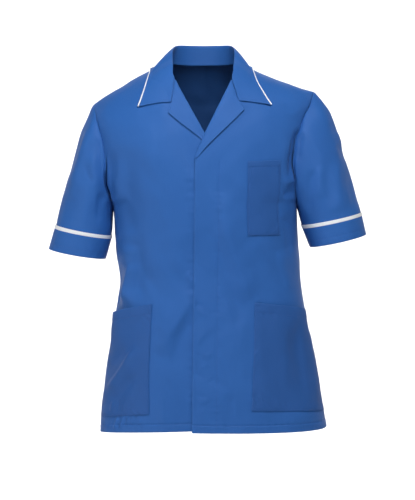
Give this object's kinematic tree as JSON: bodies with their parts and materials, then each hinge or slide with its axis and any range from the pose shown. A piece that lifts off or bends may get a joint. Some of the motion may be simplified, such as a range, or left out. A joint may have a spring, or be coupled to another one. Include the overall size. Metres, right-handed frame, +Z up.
{
  "type": "medical tunic",
  "caption": "Short-sleeved blue medical tunic in its worn shape, with notched collar, hidden front closure, patch pockets and white edges on collar and cuffs",
  "frame": {"origin": "middle of the neck base, where the shoulders hold the tunic", "axes": "+X to the wearer's left, +Y to the wearer's back, +Z up"},
  "size_m": [0.65, 0.2696, 0.7925],
  "materials": {
    "back": "blue polyester-cotton twill",
    "front_right": "blue polyester-cotton twill",
    "front_left": "blue polyester-cotton twill",
    "lapel_right": "blue polyester-cotton twill",
    "lapel_left": "blue polyester-cotton twill",
    "collar": "blue polyester-cotton twill",
    "sleeve_right": "blue polyester-cotton twill",
    "sleeve_left": "blue polyester-cotton twill",
    "cuff_right": "blue polyester-cotton twill",
    "cuff_left": "blue polyester-cotton twill",
    "pocket_lower_right": "blue polyester-cotton twill",
    "pocket_lower_left": "blue polyester-cotton twill",
    "pocket_chest": "blue polyester-cotton twill",
    "collar_piping": "white woven edge",
    "cuff_trim_right": "white woven edge",
    "cuff_trim_left": "white woven edge"
  },
  "bodies": {
    "root": {"back": "back", "front_right": "front_right", "front_left": "front_left", "lapel_right": "lapel_right", "lapel_left": "lapel_left", "collar": "collar", "sleeve_right": "sleeve_right", "sleeve_left": "sleeve_left", "cuff_right": "cuff_right", "cuff_left": "cuff_left", "pocket_lower_right": "pocket_lower_right", "pocket_lower_left": "pocket_lower_left", "pocket_chest": "pocket_chest", "collar_piping": "collar_piping", "cuff_trim_right": "cuff_trim_right", "cuff_trim_left": "cuff_trim_left"}
  },
  "joints": []
}
